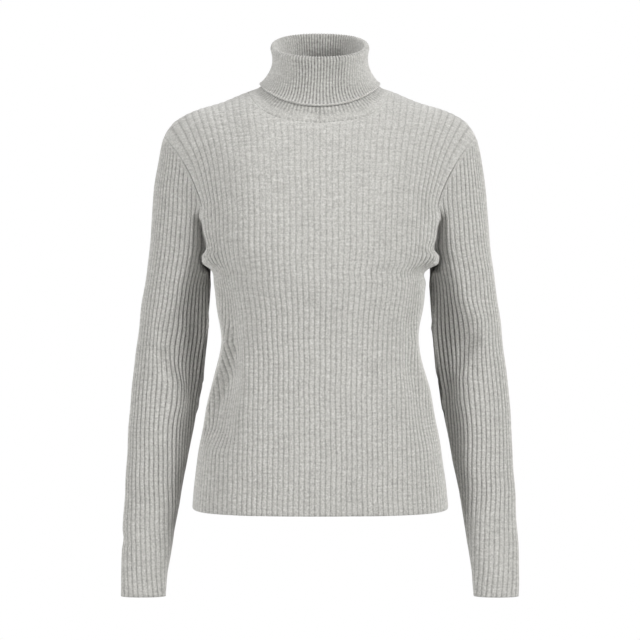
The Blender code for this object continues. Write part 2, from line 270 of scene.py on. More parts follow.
def body_low(ribs, levels, face, side="left"):
    """Points of the body under the bust line, a column for each rib and a row for each level.

    The hem hangs a little lower in the middle and lifts at its two side seams.
    """
    known = np.linspace(HEM, BUST, KNOWN_LEVELS)
    outlines = np.array([body_outline(level, ribs, face, side) for level in known])
    points = np.empty(levels.shape + (3,))
    for j in range(len(ribs)):
        for axis in (0, 1):
            points[:, j, axis] = np.interp(levels[:, j], known, outlines[:, axis, j])
    near_hem = np.clip(1 - (levels - HEM) / HEM_REACH, 0, 1) ** 2
    across = ribs[None, :] / BODY_RIBS
    points[..., 2] = levels + near_hem * (HEM_CORNER * across**HEM_SQUARE - HEM_DIP * (1 - across**2))
    return points


hem_corner = body_low(np.array([float(BODY_RIBS)]), np.array([[HEM]]), "front")[0, 0]
print("the hem's corner:", hem_corner.round(4), "m")


# %% Above the bust line
def body_high(ribs, climb, face):
    """Points of the body from the bust line over the chest or the back to the shoulder seam."""
    x, y = body_outline(BUST, ribs, face)
    power = 2 / CHEST_ROUND[face]
    rise = np.sin(climb * math.pi / 2) ** power
    reach = np.cos(climb * math.pi / 2) ** power
    top_x = SHOULDER_WIDTH * ribs / ARMHOLE_RIB
    top_z = column(SHOULDER, SHOULDER_COLUMNS, "z", top_x)
    return np.stack(
        [
            x + (top_x - x) * rise**SHOULDER_SPREAD,
            SEAM_Y + (y - SEAM_Y) * reach,
            BUST + (top_z - BUST) * rise,
        ],
        axis=-1,
    )


def neck_climb(ribs, face):
    """How far each rib climbs before the neck seam, a rounded square seen from above, ends it."""
    y = body_outline(BUST, ribs, face)[1]
    across = np.clip(ribs / NECK_RIB, 0, 1)
    depth = NECK_DEPTH[face] * (1 - across**NECK_ROUND) ** (1 / NECK_ROUND)
    return np.arccos((depth / np.abs(y - SEAM_Y)) ** (CHEST_ROUND[face] / 2)) * 2 / math.pi


middle = np.zeros(1)
print("the neck's front:", body_high(middle, neck_climb(middle, "front"), "front")[0].round(4), "m")

# %% [markdown]
# ## The armhole
#
# The sleeves are set in. The armhole comes down from the shoulder along one rib, and from the bust line it
# turns a quarter round under the arm to the side seam. It could be two edges brought together later. Here
# body and sleeve both take their edge from this one line, so they always meet.

# %% The armhole
ARMHOLE_CORNER = 0.7
HALF_HOLE_POINTS = 240


def armhole_foot(share):
    """Rib and level along the quarter round that the armhole makes from the bust line to the underarm."""
    turn = np.clip(share, 0, 1) * math.pi / 2
    rib = BODY_RIBS - (BODY_RIBS - ARMHOLE_RIB) * np.cos(turn)
    return rib, UNDERARM + (BUST - UNDERARM) * (1 - np.sin(turn))


def foot_level(ribs):
    """The level at which the armhole ends each rib beyond its corner."""
    across = np.clip((BODY_RIBS - ribs) / (BODY_RIBS - ARMHOLE_RIB), 0, 1)
    return UNDERARM + (BUST - UNDERARM) * (1 - np.sqrt(1 - across**2))


def armhole(share, face):
    """The armhole from the top of the shoulder, at 0, down to the underarm, at 1."""
    share = np.asarray(share, float)
    climb = np.clip(1 - share / ARMHOLE_CORNER, 0, 1)
    high = body_high(np.full(share.shape, float(ARMHOLE_RIB)), climb, face)
    rib, level = armhole_foot((share - ARMHOLE_CORNER) / (1 - ARMHOLE_CORNER))
    low = body_low(rib, np.tile(level, (len(rib), 1)), face)[range(len(rib)), range(len(rib))]
    return np.where((share < ARMHOLE_CORNER)[:, None], high, low)


half_hole = armhole(np.linspace(0, 1, HALF_HOLE_POINTS), "front")
hole_length = float(np.linalg.norm(np.diff(half_hole, axis=0), axis=1).sum())
print("armhole, half way round:", round(hole_length, 3), "m")

# %% [markdown]
# ## Relief
#
# A wide rib is a flat, soft ridge a few wales wide, and the groove beside it is one narrow wale that the
# knit pulls back. A bump in the material could fake it, but would leave the outline and the seams smooth.
# A few columns of points are enough to each rib, if they crowd round the groove.

# %% Rib relief
BODY_COLUMNS_OF_A_RIB = (0.0, 0.13, 0.36, 0.64, 0.87)
GROOVE_DEPTH = 0.0010
SLEEVE_GROOVE_DEPTH = 0.0013
GROOVE_WIDTH = 0.13
RIB_CROWN = 0.0003
BACK_RELIEF = 0.3
SHORTEST = 1e-12


def rib_columns(ribs, places):
    """Column positions, in ribs, over a whole number of ribs."""
    return np.append((np.arange(ribs)[:, None] + np.array(places)).ravel(), ribs)


def rib_relief(ribs, groove_depth, groove_width, crown):
    """How far the knit stands back from the crown of its ribs. Grooves lie at whole numbers."""
    off_groove = np.abs(ribs - np.round(ribs))
    return -groove_depth * np.exp(-((off_groove / groove_width) ** 2)) - crown * (1 - 2 * off_groove) ** 2


def unit(vectors):
    return vectors / np.maximum(np.linalg.norm(vectors, axis=-1, keepdims=True), SHORTEST)


one_rib = rib_relief(rib_columns(1, BODY_COLUMNS_OF_A_RIB), GROOVE_DEPTH, GROOVE_WIDTH, RIB_CROWN)
print("across one rib, in mm:", (1000 * one_rib).round(2))

# %% [markdown]
# ## Knitting a piece
#
# Every piece starts as a flat grid, one column of points for each place across the ribs and one row for
# each few stitches of length, just as a panel comes off the needles. Its points are then laid on the form.
# Solidify gives the cloth its thickness, and the copies that it makes become the inner skin, which has a
# relief of its own. The UV map keeps the panel's own measure: ribs across, metres along.


# %% Measures of a grid of points
def surface_normals(points, wrap):
    """Directions square to a grid of points, which closes round on itself where wrap is set."""
    if wrap:
        around = np.concatenate([points[:, -2:-1], points, points[:, 1:2]], axis=1)
        across = around[:, 2:] - around[:, :-2]
    else:
        across = np.gradient(points, axis=1)
    return unit(np.cross(across, np.gradient(points, axis=0)))


def lengths_up(points):
    """The length of cloth below each point, measured up its own column."""
    steps = np.linalg.norm(np.diff(points, axis=0), axis=2)
    return np.concatenate([np.zeros((1, points.shape[1])), np.cumsum(steps, axis=0)])


two_rows = np.array([[(0, 0, 0), (1, 0, 0)], [(0, 0, 2), (1, 0, 2)]], float)
print("a test square faces", surface_normals(two_rows, wrap=False)[0, 0])
print("and its height is", lengths_up(two_rows)[1, 0])

# %% From a flat panel to a dressed piece
MERGE_WITHIN = 1e-6


def keep_at_points(mesh, name, kind, key, values):
    """Keep a value for each point of a mesh under a name."""
    mesh.attributes.new(name, kind, "POINT").data.foreach_set(key, values.reshape(-1))


def cut_away(piece, cut):
    """Take away the points marked in cut."""
    bpy.ops.object.mode_set(mode="EDIT")
    bpy.ops.mesh.select_all(action="DESELECT")
    bpy.ops.object.mode_set(mode="OBJECT")
    piece.data.vertices.foreach_set("select", cut.reshape(-1))
    bpy.ops.object.mode_set(mode="EDIT")
    bpy.ops.mesh.delete(type="VERT")
    bpy.ops.object.mode_set(mode="OBJECT")


def sew_edges():
    """Join edges of the active piece that meet."""
    bpy.ops.object.mode_set(mode="EDIT")
    bpy.ops.mesh.select_all(action="SELECT")
    bpy.ops.mesh.remove_doubles(threshold=MERGE_WITHIN)
    bpy.ops.object.mode_set(mode="OBJECT")


def give_wall(piece):
    """Thicken a piece, and lay the new points where its inner attribute says."""
    mesh = piece.data
    skin = len(mesh.vertices)
    solid = piece.modifiers.new("wall", "SOLIDIFY")
    solid.thickness = WALL
    bpy.ops.object.modifier_apply(modifier=solid.name)
    place = np.empty(len(mesh.vertices) * 3, np.float32)
    back = np.empty(len(mesh.vertices) * 3, np.float32)
    mesh.vertices.foreach_get("co", place)
    mesh.attributes["inner"].data.foreach_get("vector", back)
    place[3 * skin :] = back[3 * skin :]
    mesh.vertices.foreach_set("co", place)
    mesh.attributes.remove(mesh.attributes["inner"])


def knit_piece(name, points, normals, ribs, relief, back_relief, show, cut=None, sewn=False):
    """A cloth piece: a flat grid laid on points, with relief on both its faces.

    show is how clearly the ribs show, in their relief and in the painted shade of their grooves, from 0
    to 1 or a little more. cut marks the points that aren't knitted. sewn joins edges of the piece that
    meet.
    """
    rows, columns = points.shape[:2]
    bpy.ops.object.select_all(action="DESELECT")
    bpy.ops.mesh.primitive_grid_add(x_subdivisions=columns - 1, y_subdivisions=rows - 1, size=1)
    piece = bpy.context.object
    piece.name = piece.data.name = name
    mesh = piece.data
    corner = np.empty(len(mesh.loops), np.int32)
    mesh.loops.foreach_get("vertex_index", corner)
    measure = np.stack([np.broadcast_to(ribs, (rows, columns)), lengths_up(points)], axis=2)
    mesh.uv_layers.active.data.foreach_set("uv", measure.reshape(-1, 2)[corner].reshape(-1))
    face_side = points + relief[..., None] * normals
    back_side = points - (WALL + back_relief)[..., None] * normals
    mesh.vertices.foreach_set("co", face_side.reshape(-1))
    keep_at_points(mesh, "inner", "FLOAT_VECTOR", "vector", back_side)
    keep_at_points(mesh, "rib_show", "FLOAT", "value", np.broadcast_to(show, (rows, columns)))
    if cut is not None:
        cut_away(piece, cut)
    if sewn:
        sew_edges()
    give_wall(piece)
    mesh.shade_smooth()
    mesh.update()
    print(name, "-", len(mesh.vertices), "points,", len(mesh.polygons), "faces")
    return piece


# %% [markdown]
# ## Folds, waves and rolled edges
#
# A knit this thick makes few folds, and each has its place, so a fold is a short line near which the cloth
# moves sideways and forwards, fading with the distance. At an elbow, pairs that move it to opposite sides
# bend the ribs like an S. Cloth never hangs dead true either, so a few low waves pass over every piece.
# Where a piece is sewn, its edge turns in, and the seam shows as a narrow valley. Simulated cloth would
# fold too, but elsewhere each time a size changed.

# %% The folds and the waves
FOLDS = (
    # in metres: the line from x0, z0 to x1, z1, its width and height, the way sideways and forwards
    (-0.146, -0.2235, -0.146, -0.2325, 0.0110, 0.0055, -0.0085, 0.0090),
    (0.146, -0.2235, 0.146, -0.2325, 0.0110, 0.0055, 0.0092, 0.0090),
    (-0.152, -0.1720, -0.151, -0.1880, 0.0120, 0.0120, -0.0038, 0.0),
    (0.152, -0.1760, 0.151, -0.1960, 0.0120, 0.0120, 0.0042, 0.0),
    (-0.2640, -0.6000, -0.2620, -0.6050, 0.007, 0.007, 0.0020, 0.0),
    (-0.2400, -0.5950, -0.2200, -0.6070, 0.005, 0.005, 0.0, -0.0020),
    (0.2400, -0.5900, 0.2300, -0.6100, 0.005, 0.005, 0.0, -0.0020),
    (-0.2470, -0.3200, -0.2480, -0.3300, 0.010, 0.010, -0.0015, 0.0),
    (-0.2504, -0.3387, -0.2077, -0.3520, 0.005, 0.005, 0.0, -0.0035),
    (-0.2480, -0.3310, -0.2077, -0.3440, 0.006, 0.006, 0.0, 0.0020),
    (-0.2036, -0.3574, -0.1876, -0.4082, 0.007, 0.007, 0.0, -0.0045),
    (-0.2080, -0.3230, -0.2050, -0.3360, 0.021, 0.024, -0.0045, 0.0),
    (-0.1940, -0.3980, -0.1930, -0.4150, 0.018, 0.022, 0.0055, 0.0),
    (-0.1860, -0.3150, -0.1840, -0.3500, 0.012, 0.012, 0.002, 0.0030),
    (0.2060, -0.3740, 0.2170, -0.3850, 0.005, 0.005, 0.0, -0.0025),
    (0.2170, -0.3320, 0.1823, -0.3881, 0.006, 0.006, 0.0, 0.0030),
    (0.2050, -0.3420, 0.1770, -0.3880, 0.009, 0.009, 0.0, -0.0055),
    (0.2030, -0.3130, 0.1990, -0.3280, 0.021, 0.024, 0.0050, 0.0),
    (0.1890, -0.3930, 0.1890, -0.4100, 0.018, 0.022, -0.0060, 0.0),
)
# The folds come in over this depth in front of the side seams, so the back has none.
FRONT_DEPTH = 0.03
WAVES = (
    # radians per metre across, radians per metre up, phase
    (37, 53, 0.4),
    (-61, 29, 1.9),
    (83, -47, 3.1),
    (-23, -97, 4.4),
    (109, 71, 5.3),
)
WAVE_HEIGHT = 0.00035
RIB_WANDER = 0.00022


def eased(points):
    """The cloth with its low waves, and with its ribs wandering a little sideways."""
    x, z = points[..., 0], points[..., 2]
    swell = sum(np.sin(across * x + up * z + phase) for across, up, phase in WAVES)
    drift = sum(np.sin(up * x / 3 + across * z + 2 * phase) for across, up, phase in WAVES)
    moved = points.copy()
    moved[..., 0] += RIB_WANDER * drift
    moved[..., 1] += WAVE_HEIGHT * swell
    return moved


def folded(points):
    """A piece with its waves, and with the folds of its front."""
    moved = eased(points)
    x, z = points[..., 0], points[..., 2]
    in_front = smooth_step(SEAM_Y - points[..., 1], 0.0, FRONT_DEPTH)
    for x0, z0, x1, z1, width, height, sideways, forwards in FOLDS:
        run_x, run_z = x1 - x0, z1 - z0
        t = np.clip(((x - x0) * run_x + (z - z0) * run_z) / (run_x**2 + run_z**2), 0, 1)
        away = np.hypot((x - x0 - t * run_x) / width, (z - z0 - t * run_z) / height)
        share = in_front * np.exp(-(away**2))
        moved[..., 0] += sideways * share
        moved[..., 1] -= forwards * share
    return moved


print(len(FOLDS), "folds and", len(WAVES), "waves")

# %% The rolled edges
SEAM_ROLL = 0.0010
NECK_ROLL = 0.0003
SEAM_REACH = 0.0025


def seam_roll(to_seam, depth=SEAM_ROLL):
    """How far the edge of a piece dips where it turns in to be sewn."""
    return depth * np.exp(-((to_seam / SEAM_REACH) ** 2))


print("an edge dips by", 1000 * SEAM_ROLL, "mm")
print("and the cloth 5 mm from it by", round(1000 * float(seam_roll(0.005)), 3), "mm")

# %% [markdown]
# ## The front and the back
#
# A panel is knitted as one rectangle. Its outermost ribs stop at the armhole, so the corners above the
# bust line are cut away, as a knitter casts those ribs off. The middle ribs stop at the neck seam, and
# columns crowd at the neck's corner, where that seam turns. Rows crowd towards the top, where the edge
# rolls in to be sewn.
#
# Slack cloth closes its grooves and deepens them, and stretched cloth opens them. So the ribs are clearest
# at the sides, fade a little over the bust, and half close at a seam.

# %% Sizes of the panels
LOW_ROWS = 88
HIGH_ROWS = 44
HIGH_CROWDING = 1.4
SIDE_PITCH = 0.006
NECK_CORNER = (0.0, 0.001, 0.004, 0.010, 0.030)
EVEN_PITCH = 0.0067
SHOW_RANGE = (0.5, 1.15)
SIDE_SHARES = (0.4, 0.7)
SIDE_SLACK = 0.3
UNDERARM_SLACK = 0.2
UNDERARM_LEVELS = (-0.33, -0.27)
CHEST_STRETCH = 0.1
CHEST_LEVELS = (-0.2, -0.15)
SEAM_SHOW = 0.4
SEAM_FADE = 0.010


def body_columns():
    """The columns of half a panel: a few to each rib, and more at the neck's corner."""
    corner = NECK_RIB * (1 - np.array(NECK_CORNER))
    return np.unique(np.concatenate([rib_columns(BODY_RIBS, BODY_COLUMNS_OF_A_RIB), corner]))


print("a panel has", 2 * len(body_columns()) - 1, "columns and", LOW_ROWS + HIGH_ROWS + 1, "rows")


# %% Half a panel
def body_half(face, side):
    """Points up one half of a panel, the length of cloth left above each, and what is cut away."""
    ribs = body_columns()
    inside = ribs <= ARMHOLE_RIB
    top_level = np.where(inside, BUST, foot_level(ribs))
    top_climb = np.where(ribs < NECK_RIB, neck_climb(np.minimum(ribs, NECK_RIB), face), 1.0)
    rise = np.linspace(0, 1, LOW_ROWS + 1)[:, None]
    climb = 1 - (1 - np.linspace(0, 1, HIGH_ROWS + 1)[1:, None]) ** HIGH_CROWDING
    low = body_low(ribs, HEM + (top_level - HEM) * rise, face, side)
    high = body_high(np.minimum(ribs, ARMHOLE_RIB), climb * top_climb, face)
    points = np.concatenate([low, high])
    length = lengths_up(points)
    top_row = np.where(inside, len(points) - 1, LOW_ROWS)
    to_top = np.maximum(length[top_row, range(len(ribs))] - length, 0)
    cut = (np.arange(len(points))[:, None] > LOW_ROWS) & ~inside
    if side == "right":
        points = points * np.array([-1, 1, 1])
    return points, to_top, cut


def rib_show(points, ribs, to_top):
    """How clearly a panel's ribs show."""
    pitch = np.linalg.norm(np.gradient(points, axis=1), axis=2) / np.abs(np.gradient(ribs))
    towards_side = smooth_step(np.abs(ribs) / BODY_RIBS, *SIDE_SHARES)
    height = points[..., 2]
    slack = 1 + towards_side * (SIDE_SLACK + UNDERARM_SLACK * smooth_step(height, *UNDERARM_LEVELS))
    slack = slack - CHEST_STRETCH * (1 - towards_side) * smooth_step(height, *CHEST_LEVELS)
    at_seam = SEAM_SHOW + (1 - SEAM_SHOW) * smooth_step(to_top, 0.0, SEAM_FADE)
    even = EVEN_PITCH / np.maximum(pitch, SHORTEST)
    return slack * np.clip(even**2, *SHOW_RANGE) * at_seam


print("cut off each corner:", int(body_half("front", "left")[2].sum()), "points")


# %% The two panels
def make_panel(face):
    ribs = body_columns()
    halves = zip(body_half(face, "right"), body_half(face, "left"))
    points, to_top, cut = (np.concatenate([right[:, :0:-1], left], axis=1) for right, left in halves)
    ribs = np.concatenate([-ribs[:0:-1], ribs])
    if face == "back":
        points, to_top, cut, ribs = points[:, ::-1], to_top[:, ::-1], cut[:, ::-1], ribs[::-1]
    points = folded(points)
    outward = surface_normals(points, wrap=False)
    show = rib_show(points, ribs, to_top)
    to_side = (BODY_RIBS - np.abs(ribs)) * SIDE_PITCH
    roll = NECK_ROLL + (SEAM_ROLL - NECK_ROLL) * smooth_step(np.abs(ribs), NECK_RIB, ARMHOLE_RIB)
    relief = show * rib_relief(ribs, GROOVE_DEPTH, GROOVE_WIDTH, RIB_CROWN)
    relief = relief - seam_roll(np.minimum(to_top, to_side), roll)
    return knit_piece(face + "_panel", points, outward, ribs, relief, BACK_RELIEF * relief, show, cut=cut)


front = make_panel("front")
back = make_panel("back")

# %% [markdown]
# ## The sleeves
#
# A sleeve's ribs run the length of the arm, so a narrowing sleeve has to lose ribs, and it loses them at
# the underarm seam, where they run out one by one. Each column of the grid is therefore one place on one
# rib, and it starts where that rib meets the seam, or at the cuff. A plain tube would squeeze every rib
# instead, and so look like a hose. At the top every rib runs into the armhole, at a slant.
#
# A hanging sleeve isn't round either. Its inner side lies against the body, so from the underarm seam out
# to edge, a share of the half width, its front is a slope. Amount says how much of a slope it is.

# %% Sizes of the sleeves
SLEEVE_TOP = -0.262
SLEEVE_ROUND = 2.2
SLEEVE_RIBS = 22
# The sleeve keeps this far out from the body's edge, so that the two never touch.
SLEEVE_OFF = 0.00015
SLEEVE_COLUMNS = "level x y half_width half_depth rib_pitch"
SLEEVE = (
    (-0.6775, 0.2362, -0.026, 0.0300, 0.0200, 0.0071),
    (-0.640, 0.2345, -0.022, 0.0320, 0.0230, 0.0070),
    (-0.580, 0.2288, -0.014, 0.0355, 0.0275, 0.0068),
    (-0.520, 0.2225, -0.006, 0.0392, 0.0325, 0.0066),
    (-0.460, 0.2150, 0.001, 0.0435, 0.0365, 0.0065),
    (-0.400, 0.2083, 0.006, 0.0466, 0.0395, 0.0065),
    (-0.340, 0.2010, 0.007, 0.0462, 0.0415, 0.0065),
    (-0.290, 0.1955, 0.005, 0.0455, 0.0440, 0.0065),
    (SLEEVE_TOP, 0.1920, 0.003, 0.0445, 0.0465, 0.0065),
)
BEND_COLUMNS = "level edge amount"
BENDS = {
    "right": (
        (-0.681, -0.90, 0.00),
        (-0.600, -0.85, 0.10),
        (-0.540, -0.75, 0.45),
        (-0.470, -0.55, 0.85),
        (-0.415, -0.35, 1.00),
        (-0.381, 0.00, 1.00),
        (-0.332, 0.28, 1.00),
        (-0.281, -0.05, 0.85),
        (SLEEVE_TOP, -0.20, 0.75),
    ),
    "left": (
        (-0.681, -0.90, 0.00),
        (-0.600, -0.80, 0.20),
        (-0.540, -0.65, 0.50),
        (-0.470, -0.50, 0.85),
        (-0.415, -0.15, 1.00),
        (-0.381, 0.15, 1.00),
        (-0.340, 0.35, 1.00),
        (-0.281, -0.10, 0.80),
        (SLEEVE_TOP, -0.25, 0.70),
    ),
}
BEND_ROUND = 0.25


def sleeve(name, level):
    return column(SLEEVE, SLEEVE_COLUMNS, name, level)


cuff_and_top = sleeve("half_width", [SLEEVE[0][0], SLEEVE_TOP])
print("a sleeve's half width at its cuff and its top:", cuff_and_top.round(4), "m")

# %% One level of a sleeve
RING_TURNS = 361


def smooth_least(a, b, corner):
    """The lesser of two lines, with the corner where they cross rounded off."""
    share = np.clip(0.5 + 0.5 * (a - b) / corner, 0, 1)
    return a + (b - a) * share - corner * share * (1 - share)


def ring_outline(level, face, side):
    """Half a ring of the sleeve, from the outer line to the seam, with the run along it."""
    turn = np.linspace(0, math.pi, RING_TURNS)
    power = 2 / SLEEVE_ROUND
    across = np.sign(np.cos(turn)) * np.abs(np.cos(turn)) ** power
    depth = np.sin(turn) ** power
    if face == "front":
        sloped = (1 + across) / (1 + column(BENDS[side], BEND_COLUMNS, "edge", level))
        bent = np.maximum(smooth_least(sloped, depth, BEND_ROUND), 0)
        depth = depth + (bent - depth) * column(BENDS[side], BEND_COLUMNS, "amount", level)
    x = across * sleeve("half_width", level)
    y = depth * sleeve("half_depth", level) * (-1 if face == "front" else 1)
    return sleeve("x", level) + x, sleeve("y", level) + y, run_along(x, y)


def ring_points(level, shares, face, side):
    """Points at shares of the way along half a ring."""
    x, y, run = ring_outline(level, face, side)
    at = np.clip(shares, 0, 1) * run[-1]
    return np.stack([np.interp(at, run, x), np.interp(at, run, y), np.full(at.shape, level)], axis=-1)


def hermite(start, start_pull, end, end_pull, t):
    """A curve from start to end that leaves along start_pull and arrives along end_pull."""
    return (
        (2 * t**3 - 3 * t**2 + 1) * start
        + (t**3 - 2 * t**2 + t) * start_pull
        + (3 * t**2 - 2 * t**3) * end
        + (t**3 - t**2) * end_pull
    )


half_top = ring_outline(SLEEVE_TOP, "front", "left")[2][-1]
print("half way round the sleeve's top:", round(float(half_top), 3), "m")

# %% [markdown]
# ## The crease at the armpit
#
# Where an arm hangs down, the sleeve's front sinks in behind the body's edge, and a deep, dark crease
# follows the lower armhole. A simulation would need fine cloth and much time for it. Here the sleeve drops
# back steeply close to the seam, its wall thins so that it keeps out of the body's, and its edge reaches a
# few millimetres in under the body's edge, like a seam allowance, so that no gap opens.

# %% Beside the lower armhole
ARMPIT_DEPTH = 0.027
ARMPIT_WIDTH = 0.0112
ARMPIT_EDGE = 0.0012
ARMPIT_REACH = 0.0035
ARMPIT_BACK = 0.0008
ARMPIT_THIN = 0.007
THINNED = 0.0021
ARMPIT_LEVELS = (-0.190, -0.155)
ARMPIT_END = 0.93


def seam_gap(points, face):
    """How far points lie from the armhole, seen from the front, the level they are nearest to, and the way
    from there in under the body's edge."""
    seam = armhole(np.linspace(0, 1, HALF_HOLE_POINTS), face)[:, ::2]
    run = np.diff(seam, axis=0)
    offset = points[..., None, ::2] - seam[:-1]
    t = np.clip(np.sum(offset * run, axis=-1) / np.sum(run**2, axis=-1), 0, 1)
    away = np.linalg.norm(offset - t[..., None] * run, axis=-1)
    nearest = away.argmin(axis=-1)
    under = unit(np.stack([run[:, 1], 0 * run[:, 0], -run[:, 0]], axis=1))
    return away.min(axis=-1), seam[nearest, 1], under[nearest]


def crease(gap, level, under, met):
    """How far the sleeve's front sinks in, thins and reaches under the body's edge."""
    armpit = (1 - smooth_step(level, *ARMPIT_LEVELS)) * (1 - smooth_step(met, ARMPIT_END, 1.0))
    sunk = ARMPIT_DEPTH * (1 - np.exp(-gap / ARMPIT_EDGE)) * np.exp(-((gap / ARMPIT_WIDTH) ** 3))
    thin = THINNED * armpit * np.exp(-((gap / ARMPIT_THIN) ** 2))
    at_edge = armpit * np.exp(-((gap / ARMPIT_EDGE) ** 2))
    return armpit * sunk, thin, (ARMPIT_REACH * under + (0, ARMPIT_BACK, 0)) * at_edge[..., None]


sunk = crease(np.array([0.005]), np.array([BUST]), np.zeros((1, 3)), np.zeros(1))[0]
print("5 mm from the seam the sleeve sinks", round(1000 * float(sunk[0]), 1), "mm")

# %% Half a sleeve
SLEEVE_ROWS = 96
SLEEVE_HEAD_ROWS = 36
SLEEVE_LEVELS = 140
SLEEVE_LEAN = 0.30
LEAN_FADE = 3
# The ribs meet the armhole closer together at the shoulder than under the arm.
HEAD_EVEN = 0.55
HEAD_GATHER = 2.5
HEAD_CROWDING = 1.5
BELOW_TOP = 0.002


def sleeve_below(face, side, ribs):
    """Rows up to the sleeve's top level. Each rib starts at the cuff, or where the seam lets it in."""
    known = np.linspace(SLEEVE[0][0], SLEEVE_TOP, SLEEVE_LEVELS)
    around = np.array([ring_outline(level, face, side)[2][-1] for level in known])
    pitch = sleeve("rib_pitch", known) * around[-1] / (SLEEVE_RIBS * sleeve("rib_pitch", SLEEVE_TOP))
    counts = around / pitch
    starts = np.interp(ribs, counts, known)
    rings = np.array([ring_points(level, ribs / count, face, side) for level, count in zip(known, counts)])
    levels = starts + (SLEEVE_TOP - starts) * np.linspace(0, 1, SLEEVE_ROWS + 1)[:, None]
    low = np.empty(levels.shape + (3,))
    for j in range(len(ribs)):
        for axis in (0, 1):
            low[:, j, axis] = np.interp(levels[:, j], known, rings[:, j, axis])
    low[..., 2] = levels
    at_seam = ribs > counts[0]
    low[0, at_seam, 0] = sleeve("x", starts[at_seam]) - sleeve("half_width", starts[at_seam])
    low[0, at_seam, 1] = sleeve("y", starts[at_seam])
    return low


def sleeve_half(face, side):
    """Rows of points up one half of the sleeve, for the wearer's left arm, and where each rib ends."""
    ribs = rib_columns(SLEEVE_RIBS, BODY_COLUMNS_OF_A_RIB)
    low = sleeve_below(face, side, ribs)
    shares = ribs / SLEEVE_RIBS
    met = HEAD_EVEN * shares + (1 - HEAD_EVEN) * shares**HEAD_GATHER
    start, end = low[-1], armhole(met, face)
    length = np.linalg.norm(end - start, axis=1)[:, None]
    start_pull = unit(start - ring_points(SLEEVE_TOP - BELOW_TOP, shares, face, side)) * length
    lean = np.stack([-SLEEVE_LEAN * (1 - shares) ** LEAN_FADE, 0 * shares, np.ones(len(shares))], axis=1)
    end_pull = unit(lean) * length
    climb = 1 - (1 - np.linspace(0, 1, SLEEVE_HEAD_ROWS + 1)[1:]) ** HEAD_CROWDING
    head = np.array([hermite(start, start_pull, end, end_pull, t) for t in climb])
    return np.concatenate([low, head]), ribs, met


cuff = sleeve_half("front", "left")[0][0]
print("the cuff's front, outer end:", cuff[0].round(4), "m")

# %% The two sleeves
INNER_SHARES = (0.5, 0.7)
INNER_LEVELS = (-0.28, -0.23)
INNER_SHOW = 0.9
HEAD_FADE = 0.4
HEAD_LEVELS = (-0.09, -0.05)
CUFF_SHOW = 0.75
CUFF_LEVELS = (-0.58, -0.54)
GAP_FADE = 0.005


def sleeve_show(height, around, gap):
    """How clearly a sleeve's ribs show: most on its inner side, least at its head and its cuff."""
    inner_side = smooth_step(np.abs(around) / SLEEVE_RIBS, *INNER_SHARES)
    inner_side = inner_side * (1 - smooth_step(height, *INNER_LEVELS))
    show = (1 + INNER_SHOW * inner_side) * (1 - HEAD_FADE * smooth_step(height, *HEAD_LEVELS))
    show = show * (CUFF_SHOW + (1 - CUFF_SHOW) * smooth_step(height, *CUFF_LEVELS))
    return show * smooth_step(gap, 0.0, GAP_FADE)


def make_sleeve(side):
    front_half, ribs, met = sleeve_half("front", side)
    back_half = sleeve_half("back", side)[0]
    front_gap, level, under = seam_gap(front_half, "front")
    back_gap = seam_gap(back_half, "back")[0]

    def both(front_part, back_part):
        joined = np.concatenate([front_part[:, ::-1], back_part[:, 1:]], axis=1)
        return joined if side == "left" else joined[:, ::-1]

    points, gap = both(front_half, back_half), both(front_gap, back_gap)
    sunk, thin, reach = (both(part, 0 * part) for part in crease(front_gap, level, under, met))
    around = both(-ribs[None], ribs[None])[0]
    points[..., 0] += SLEEVE_OFF
    if side == "right":
        points, reach, around = points * np.array([-1, 1, 1]), reach * np.array([-1, 1, 1]), -around
    points = folded(points)
    length = lengths_up(points)
    points -= seam_roll(length[-1] - length)[..., None] * surface_normals(points, wrap=False)
    points += reach
    points[..., 1] += sunk
    outward = surface_normals(points, wrap=False)
    show = sleeve_show(points[..., 2], around, gap)
    relief = show * rib_relief(around, SLEEVE_GROOVE_DEPTH, GROOVE_WIDTH, RIB_CROWN)
    relief[:, [0, -1]] = -SLEEVE_GROOVE_DEPTH
    inside = BACK_RELIEF * relief - thin
    return knit_piece("sleeve_" + side + "_knit", points, outward, around, relief, inside, show, sewn=True)


sleeves = [make_sleeve("left"), make_sleeve("right")]

# %% [markdown]
# ## The roll collar
#
# The collar is a tube of fine rib. Its stand climbs from the neck seam to a crest, rolls over and falls
# outside itself, flaring over the shoulders. So one face of the cloth is the stand's outside and the
# fall's inside. A fine rib is one wale up and one wale down, so both its faces look the same, and its
# grooves are as wide as its ribs.
#
# Two tubes, one in the other, could stand for it, but then its crest would have to be faked. One section,
# drawn at each angle round the neck, gives the stand, the crest and the fall in one cloth.

# %% Sizes of the collar
COLLAR_TILT = math.radians(20)
CREST_Y = -0.020
CREST_Z = 0.057
STAND_RADIUS = 0.0596
FALL_RADIUS = 0.0642
CREST_GAP = FALL_RADIUS - STAND_RADIUS
CREST_ROUND = 2.3
# Inside the fall, the stand follows it closely down to the tuck, and from there goes in to the neck.
TUCK = 0.95
TUCKED_GAP = 0.0012
FALL_WAIST = 0.3
FALL_DROP = 1.3
FALL_FLARE = (0.75, 0.66)
FALL_EDGE_WIDTH = 0.0795
FALL_EDGE_FRONT = -0.0900
FALL_EDGE_BACK = 0.0710
FALL_EDGE_LEVELS = {"front": -0.0275, "side": 0.0080, "back": 0.0140}
COLLAR_RIBS = 104
COLLAR_COLUMNS_OF_A_RIB = (0.0, 0.25, 0.5, 0.75)
STAND_ROWS = 16
TUCKED_ROWS = 16
CREST_ROWS = 8
FALL_ROWS = 32
FALL_CROWDING = 1.6
print("the fall's crest is", round(2 * FALL_RADIUS, 4), "m across, and its edge", 2 * FALL_EDGE_WIDTH, "m")

# %% The neck seam
RIB_STEP = 0.02


